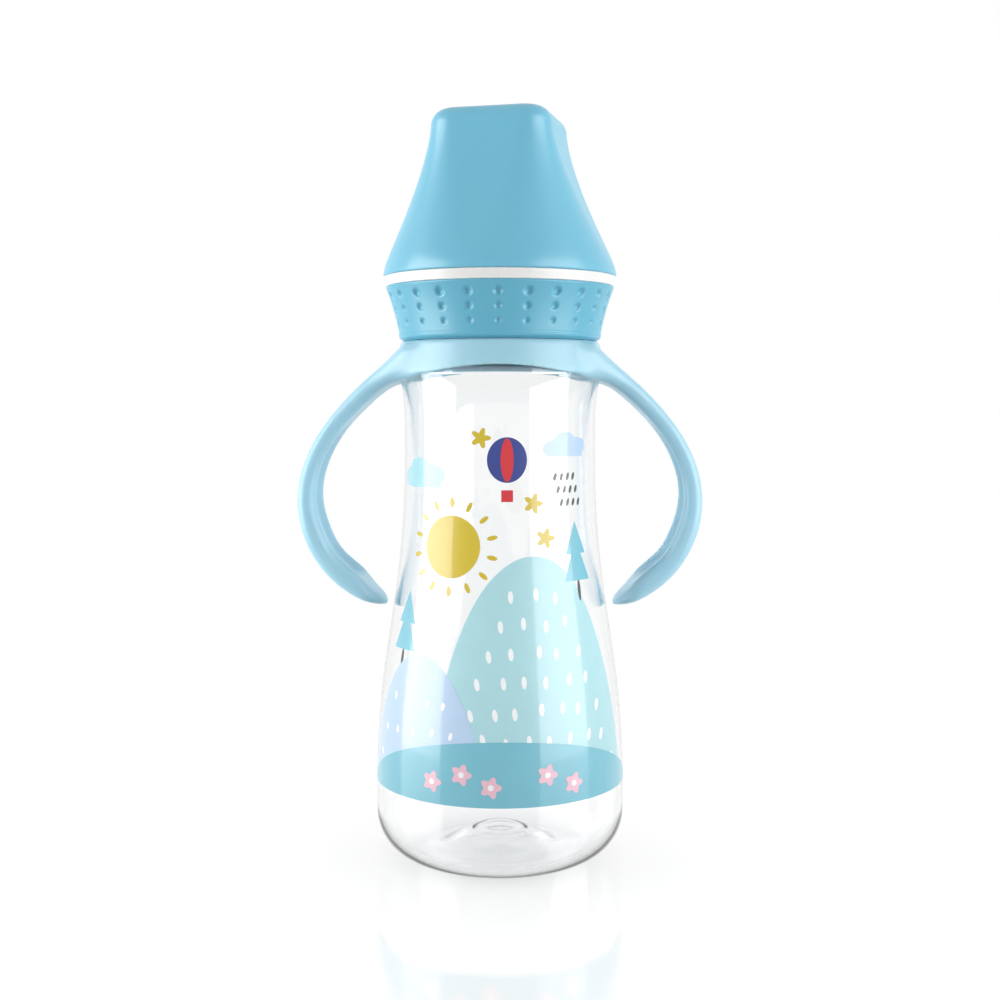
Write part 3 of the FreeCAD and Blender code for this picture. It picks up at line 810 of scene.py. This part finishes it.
def hood_rows(inset):
    """Height, half side and corner radius of the rounded square, row by row from the rim to the crown's
    middle. Up the wall both change from the rim's value to the crown's by 1 - (1 - lift)^power, where lift is
    a hyperbola that leaves the rim upright. A quarter circle rolls over the edge, then a flat top shrinks to
    a point."""
    share = np.linspace(0, 1, 48)
    lift = np.hypot(share, HOOD_EASE) - HOOD_EASE
    change = 1 - (1 - lift / lift[-1]) ** HOOD_POWER
    eaves = HOOD_TOP - HOOD_EDGE
    edge = HOOD_EDGE - inset
    quarter = np.linspace(0, math.pi / 2, 14)[1:]
    shrink = np.linspace(1, 0, 12)[1:]
    wall_half = HOOD_RIM[0] + (HOOD_CROWN[0] - HOOD_RIM[0]) * change
    wall_corner = HOOD_RIM[1] + (HOOD_CROWN[1] - HOOD_RIM[1]) * change - inset
    top_corner = HOOD_CROWN[1] - inset - edge
    height = np.concatenate((HOOD_FOOT + (eaves - HOOD_FOOT) * share,
                             eaves + edge * np.sin(quarter), np.full(len(shrink), HOOD_TOP - inset)))
    half = np.concatenate((wall_half, np.full(len(quarter), HOOD_CROWN[0]), HOOD_CROWN[0] * shrink))
    corner = np.concatenate((wall_corner, top_corner + edge * np.cos(quarter), top_corner * shrink))
    return np.stack((height, half, corner), axis=-1)


def make_hood():
    """Rounded squares stacked up the outside and down the inside, joined by a rounded rim."""
    place, direction = rounded_loop(9, 17)
    outer = hood_rows(0.0)
    inner = hood_rows(HOOD_WALL)[::-1]
    lip = 0.4
    outer[0] += (lip, 0, 0)
    rim = np.array(((HOOD_FOOT, HOOD_RIM[0], HOOD_RIM[1] - HOOD_WALL + lip),
                    (HOOD_FOOT, HOOD_RIM[0], HOOD_RIM[1] - lip),
                    (HOOD_FOOT + 0.12, HOOD_RIM[0], HOOD_RIM[1] - 0.1)))
    rows = np.concatenate((rim, outer, inner))[:, None, :]
    flat = rows[..., 1:2] * place + rows[..., 2:3] * direction
    x = flat[..., 0] * math.cos(HOOD_TURN) - flat[..., 1] * math.sin(HOOD_TURN)
    y = flat[..., 0] * math.sin(HOOD_TURN) + flat[..., 1] * math.cos(HOOD_TURN)
    points = np.stack((x, y, np.broadcast_to(rows[..., 0], x.shape)), axis=-1)
    piece = mesh_object("hood_shell", points, grid_faces(len(rows), len(place), True, True), crease=60)
    finish = moulded_plastic("hood_plastic", (0.155, 0.49, 0.655), 0.3)
    dress(piece, "hood", finish, "hood_plastic", "hood")


# Printed picture: hills, sun, clouds, trees and flowers, as thin plates of ink on the bottle

INK_LIFT = 0.02
INK_STEP = 0.035
INK_THICKNESS = 0.7
HILL_ROUNDNESS = 0.75
TREES = np.array((-55, 48))
TREE_FOOT = np.array((48.5, 65.0))


def wrap(across, height, middle, layer):
    """Lay flat artwork on the bottle: a distance across becomes an angle at the skin's radius there, and the
    layer, in steps of ink, lifts it off the skin."""
    skin = skin_radius(height)
    angle = math.radians(1) * middle + across / skin
    radius = skin + INK_LIFT + INK_STEP * layer
    return np.stack((radius * np.sin(angle), -radius * np.cos(angle), height), axis=-1)


def plate(reach, middle, height, layer, rings=4, lean=0.0):
    """Closed thin plates of star-shaped outlines. The outline's points lie at (across, up) = reach from the
    plate's middle; rings of points shrink to the middle on the top and again on the underside. Arrays of
    middles, heights and leans give as many copies."""
    spread_out = np.broadcast_arrays(middle, height, lean)
    middle, height, lean = (np.atleast_1d(value).astype(float) for value in spread_out)
    across, up = reach
    share = np.concatenate((np.linspace(0, 1, rings + 1), np.linspace(1, 0, rings + 1)))[None, :, None]
    lift = layer - INK_THICKNESS * np.repeat((0, 1), rings + 1)[None, :, None]
    cosine = np.cos(np.radians(lean))[:, None, None]
    sine = np.sin(np.radians(lean))[:, None, None]
    flat_x = share * (across * cosine + up * sine)
    flat_z = share * (up * cosine - across * sine)
    points = wrap(flat_x, height[:, None, None] + flat_z, middle[:, None, None], lift)
    copies, rows, columns = points.shape[:3]
    faces = grid_faces(rows, columns, False, True)
    offset = np.arange(copies)[:, None, None] * rows * columns
    return points.reshape(-1, 3), (faces + offset).reshape(-1, 4)


def hill(middle, width, foot, rise, layer, roundness=HILL_ROUNDNESS):
    """Closed thin plate under a hill line: its top is the foot plus rise times (1 - x^2)^roundness over x
    from -1 to 1 across the width."""
    rows = 26
    columns = 90
    x = np.sin(np.linspace(-math.pi / 2, math.pi / 2, columns))[None, :]
    share = np.concatenate((np.linspace(0, 1, rows), np.linspace(1, 0, rows)))[:, None]
    lift = layer - INK_THICKNESS * np.repeat((0, 1), rows)[:, None]
    height = foot + rise * np.maximum(1 - x * x, 0) ** roundness * share
    points = wrap(width * x * np.ones_like(share), height, middle, lift)
    return points.reshape(-1, 3), grid_faces(2 * rows, columns, True, False)


def ellipse(half_width, half_height, count=16):
    """Ellipse outline."""
    angle = np.linspace(0, FULL_TURN, count, endpoint=False)
    return half_width * np.cos(angle), half_height * np.sin(angle)


def lobed(radius, lobes, depth, count=60):
    """Flower outline: the radius swells and shrinks with the cosine of the lobes' angle."""
    angle = np.linspace(0, FULL_TURN, count, endpoint=False)
    reach = radius * (1 + depth * np.cos(lobes * angle))
    return reach * np.cos(angle), reach * np.sin(angle)


def cloud(half_width, count=96):
    """Cloud outline: five puffs over the top and a flat underside."""
    angle = np.linspace(0, FULL_TURN, count, endpoint=False)
    reach = half_width * (0.78 + 0.22 * np.abs(np.sin(2.5 * angle + 0.4)))
    return reach * np.cos(angle), np.maximum(0.62 * reach * np.sin(angle), -0.2 * half_width)


def polygon(radius, sides, stretch=1.0, count=48):
    """Regular polygon standing on one side: the radius is the inner radius over the cosine from each side's
    middle."""
    angle = np.linspace(0, FULL_TURN, count, endpoint=False)
    sector = FULL_TURN / sides
    off = (angle + math.pi / 2 + sector / 2) % sector - sector / 2
    reach = radius * math.cos(sector / 2) / np.cos(off)
    return reach * np.cos(angle), stretch * reach * np.sin(angle)


def flecks(middle, width, foot, rise, rows, seed, margin=3.0):
    """Middles, heights and leans of short strokes spread over a hill in loose rows, fanned from its foot."""
    random = np.random.default_rng(seed)
    stray = 0.7
    spacing = 4.6
    gap = rise / rows
    up = np.arange(rows)[:, None] * gap + gap * 0.6
    across = np.linspace(-width, width, int(2 * width / spacing))[None, :]
    across = across + spacing / 2 * (np.arange(rows) % 2)[:, None]
    across = across + random.uniform(-stray, stray, across.shape)
    up = up + random.uniform(-stray, stray, across.shape)
    edge = (np.abs(across) + margin) / width
    inside = up + margin < rise * np.maximum(1 - edge ** 2, 0) ** HILL_ROUNDNESS
    across, up = across[inside], up[inside]
    angle = middle + np.degrees(across / skin_radius(foot + up))
    return angle, foot + up, np.degrees(np.arctan2(across, up + rise * 0.5)) * 0.7


def join_plates(*plates):
    """One array of points and one of faces from several."""
    points, faces, start = [], [], 0
    for plate_points, plate_faces in plates:
        points.append(plate_points)
        faces.append(plate_faces + start)
        start += len(plate_points)
    return np.concatenate(points), np.concatenate(faces)


def print_piece(name, colour, *plates):
    """All the plates of one ink as one piece on the bottle."""
    points, faces = join_plates(*plates)
    piece = mesh_object(name, points, faces, crease=50)
    dress(piece, "bottle", ink(name, colour), "clear_plastic")


def make_print():
    """Every ink colour is one piece."""
    big_hill = dict(middle=19, width=27, foot=24, rise=52)
    left_hill = dict(middle=-41, width=19, foot=23, rise=30)
    meadow = dict(middle=2, width=45, foot=19.5, rise=15)
    print_piece("ink_pale_teal", (0.40, 0.68, 0.73),
                hill(**big_hill, layer=1),
                plate(cloud(8.5), -52, 93, 1))
    print_piece("ink_mid_teal", (0.17, 0.49, 0.60),
                hill(**meadow, layer=3, roundness=0.8),
                plate(polygon(3.9, 3, 1.3), TREES, TREE_FOOT + 13.5, 1),
                plate(polygon(5.0, 3, 1.3), TREES, TREE_FOOT + 8.0, 1.5))
    print_piece("ink_periwinkle", (0.47, 0.63, 0.83),
                hill(**left_hill, layer=2),
                plate(cloud(7.0), 43, 100, 1))
    sun_ray = np.arange(14) * 360 / 14
    sun_middle, sun_height = -27.0, 78.0
    ray_reach = 10.2
    ray_angle = sun_middle + np.degrees(ray_reach * np.sin(np.radians(sun_ray)) / skin_radius(sun_height))
    ray_height = sun_height + ray_reach * np.cos(np.radians(sun_ray))
    print_piece("ink_mustard", (0.61, 0.46, 0.015),
                plate(ellipse(7.2, 7.2, 48), sun_middle, sun_height, 1),
                plate(ellipse(0.55, 1.25), ray_angle, ray_height, 1, rings=2, lean=sun_ray),
                plate(lobed(1.8, 5, 0.35), (-10, 20, 27), (103, 88, 80), 1, rings=2))
    drop = np.arange(12)
    drop_angle = 34 + 4.6 * (drop % 4) + 2.2 * (drop // 4)
    drop_height = 94.0 - 3.0 * (drop // 4)
    print_piece("ink_charcoal", (0.045, 0.045, 0.045),
                plate(ellipse(0.42, 0.95), drop_angle, drop_height, 1, rings=2, lean=18),
                plate(ellipse(0.5, 2.6), TREES, TREE_FOOT + 2.6, 1.2, rings=2))
    flower_angle = np.array((-30, -16, -3, 22, 35))
    flower_height = np.array((24.6, 26.8, 24.2, 26.6, 24.0))
    balloon_middle, balloon_height = 5.0, 98.0
    print_piece("ink_navy", (0.012, 0.035, 0.24),
                plate(ellipse(4.6, 5.2, 40), balloon_middle, balloon_height, 1))
    print_piece("ink_red", (0.62, 0.018, 0.03),
                plate(ellipse(1.5, 4.95, 32), balloon_middle, balloon_height, 2),
                plate(polygon(1.9, 4), balloon_middle, balloon_height - 8.2, 1, rings=2))
    print_piece("ink_pink", (0.82, 0.50, 0.60),
                plate(lobed(2.1, 5, 0.22), flower_angle, flower_height, 4, rings=2))
    angle, height, lean = flecks(**big_hill, rows=8, seed=5)
    left_angle, left_height, left_lean = flecks(**left_hill, rows=4, seed=11)
    print_piece("ink_white", (0.9, 0.92, 0.93),
                plate(ellipse(0.62, 1.45, 14), angle, height, 1.5, rings=2, lean=lean),
                plate(ellipse(0.5, 0.95, 12), left_angle, left_height, 2.5, rings=2, lean=left_lean),
                plate(ellipse(0.7, 0.7, 12), flower_angle, flower_height, 5, rings=1))


# Studio

CAMERA_AZIMUTH = math.radians(1)
CAMERA_DISTANCE = 338.2
CAMERA_HEIGHT = 112.5
CAMERA_PITCH = math.radians(4.28)
CAMERA_LENS = 50.0
CAMERA_SENSOR = 36.0
FLOOR_RADIUS = 210.0
LIGHT_DISTANCE = 1000.0


def make_camera():
    """Camera a little above the bottle's middle, turned slightly down."""
    data = bpy.data.cameras.new("camera")
    data.lens = CAMERA_LENS
    data.sensor_width = CAMERA_SENSOR
    data.clip_start = 0.01
    camera = link(bpy.data.objects.new("camera", data))
    camera.location = (CAMERA_DISTANCE * math.sin(CAMERA_AZIMUTH) * MM,
                       -CAMERA_DISTANCE * math.cos(CAMERA_AZIMUTH) * MM, CAMERA_HEIGHT * MM)
    camera.rotation_euler = (math.pi / 2 - CAMERA_PITCH, 0, CAMERA_AZIMUTH)
    bpy.context.scene.camera = camera


def make_softbox(name, azimuth, width, height, middle, power, seen=True):
    """Upright rectangle of light that faces the bottle's axis, at an angle from the camera's side of it. One
    that isn't seen shows neither in gloss nor through clear plastic."""
    data = bpy.data.lights.new(name, "AREA")
    data.shape = "RECTANGLE"
    data.size = width * MM
    data.size_y = height * MM
    data.energy = power
    lamp = link(bpy.data.objects.new(name, data))
    angle = CAMERA_AZIMUTH + math.radians(azimuth)
    lamp.location = (LIGHT_DISTANCE * math.sin(angle) * MM,
                     -LIGHT_DISTANCE * math.cos(angle) * MM, middle * MM)
    lamp.rotation_euler = (math.pi / 2, 0, angle)
    lamp.visible_camera = False
    lamp.visible_glossy = seen
    lamp.visible_transmission = seen


def make_overhead(name, width, height, power):
    """Level square of light above the bottle, too soft to show in its gloss."""
    data = bpy.data.lights.new(name, "AREA")
    data.shape = "SQUARE"
    data.size = width * MM
    data.energy = power
    lamp = link(bpy.data.objects.new(name, data))
    lamp.location = (0, 0, height * MM)
    lamp.visible_glossy = False


def direct_view(tree):
    """1 on rays that show a thing to the camera, also in gloss or through clear plastic, and 0 on those that
    only carry light from one matt surface to another."""
    path = add_node(tree, "ShaderNodeLightPath")
    either = add_node(tree, "ShaderNodeMath", operation="MAXIMUM")
    any_view = add_node(tree, "ShaderNodeMath", operation="MAXIMUM")
    unscattered = add_node(tree, "ShaderNodeMath", operation="LESS_THAN")
    unscattered.inputs[1].default_value = 0.5
    both = add_node(tree, "ShaderNodeMath", operation="MULTIPLY")
    tree.links.new(path.outputs["Is Camera Ray"], either.inputs[0])
    tree.links.new(path.outputs["Is Glossy Ray"], either.inputs[1])
    tree.links.new(either.outputs["Value"], any_view.inputs[0])
    tree.links.new(path.outputs["Is Transmission Ray"], any_view.inputs[1])
    tree.links.new(path.outputs["Diffuse Depth"], unscattered.inputs[0])
    tree.links.new(any_view.outputs["Value"], both.inputs[0])
    tree.links.new(unscattered.outputs["Value"], both.inputs[1])
    return both.outputs["Value"]


def make_world():
    """White to the camera, to gloss and through clear plastic, and a soft fill for everything else."""
    world = bpy.data.worlds.new("studio")
    bpy.context.scene.world = world
    world.use_nodes = True
    tree = world.node_tree
    seen = tree.nodes["Background"]
    seen.inputs["Color"].default_value = (1, 1, 1, 1)
    seen.inputs["Strength"].default_value = 1.0
    fill = add_node(tree, "ShaderNodeBackground", Strength=0.14)
    fill.inputs["Color"].default_value = (1, 1, 1, 1)
    choose = add_node(tree, "ShaderNodeMixShader")
    tree.links.new(direct_view(tree), choose.inputs["Fac"])
    tree.links.new(fill.outputs["Background"], choose.inputs[1])
    tree.links.new(seen.outputs["Background"], choose.inputs[2])
    tree.links.new(choose.outputs["Shader"], tree.nodes["World Output"].inputs["Surface"])


def floor_material():
    """White acrylic: a faint mirror image, and a soft shadow that is partly real, in its matt part, and
    partly painted, where ambient occlusion dims its glow close under the bottle.
    """
    material, tree, shader = new_material("white_floor")
    tree.nodes.remove(shader)
    matt = add_node(tree, "ShaderNodeBsdfDiffuse")
    matt.inputs["Color"].default_value = (0.25, 0.25, 0.25, 1)
    # Painted shadow: near the bottle, ambient occlusion lowers the floor's glow from 0.835 to 0.6.
    near = add_node(tree, "ShaderNodeAmbientOcclusion", Distance=30 * MM)
    level = add_node(tree, "ShaderNodeMapRange")
    level.inputs["To Min"].default_value = 0.6
    level.inputs["To Max"].default_value = 0.835
    glow = add_node(tree, "ShaderNodeEmission")
    glow.inputs["Color"].default_value = (1, 1, 1, 1)
    white = add_node(tree, "ShaderNodeAddShader")
    mirror = add_node(tree, "ShaderNodeBsdfGlossy", Roughness=0.07)
    mirror.inputs["Color"].default_value = (1, 1, 1, 1)
    view = add_node(tree, "ShaderNodeMixShader")
    sheen = add_node(tree, "ShaderNodeFresnel", IOR=2.0)
    plain = add_node(tree, "ShaderNodeBsdfDiffuse")
    plain.inputs["Color"].default_value = (0.7, 0.7, 0.7, 1)
    choose = add_node(tree, "ShaderNodeMixShader")
    tree.links.new(near.outputs["AO"], level.inputs["Value"])
    tree.links.new(level.outputs["Result"], glow.inputs["Strength"])
    tree.links.new(matt.outputs["BSDF"], white.inputs[0])
    tree.links.new(glow.outputs["Emission"], white.inputs[1])
    tree.links.new(sheen.outputs["Fac"], view.inputs["Fac"])
    tree.links.new(white.outputs["Shader"], view.inputs[1])
    tree.links.new(mirror.outputs["BSDF"], view.inputs[2])
    tree.links.new(direct_view(tree), choose.inputs["Fac"])
    tree.links.new(plain.outputs["BSDF"], choose.inputs[1])
    tree.links.new(view.outputs["Shader"], choose.inputs[2])
    tree.links.new(choose.outputs["Shader"], tree.nodes["Material Output"].inputs["Surface"])
    return material


def make_floor():
    """Flat disc just under the bottle's foot."""
    corners = 128
    angle = np.linspace(0, FULL_TURN, corners, endpoint=False)
    x = FLOOR_RADIUS * np.cos(angle)
    y = FLOOR_RADIUS * np.sin(angle)
    points = np.stack((x, y, np.full(corners, FOOT - 0.02)), axis=-1)
    mesh = bpy.data.meshes.new("floor")
    mesh.from_pydata((points * MM).tolist(), [], [list(range(corners))])
    floor = link(bpy.data.objects.new("floor", mesh))
    floor.data.materials.append(floor_material())


def make_studio():
    """White backdrop and floor, a softbox on either side, a glow behind and a soft light above."""
    make_camera()
    make_world()
    make_floor()
    make_softbox("softbox_left", azimuth=-78, width=850, height=1000, middle=250, power=13.8)
    make_softbox("softbox_right", azimuth=61.5, width=950, height=1000, middle=250, power=12.4)
    make_softbox("backdrop_glow", azimuth=180, width=1800, height=1000, middle=200, power=15.0, seen=False)
    make_overhead("softbox_top", width=900, height=1000, power=1.2)
    bpy.context.scene.view_settings.view_transform = "Standard"


make_bottle()
make_handle_ring()
make_teat()
make_screw_ring()
make_collar_grip()
make_hood()
make_print()
make_studio()

bpy.context.view_layer.update()
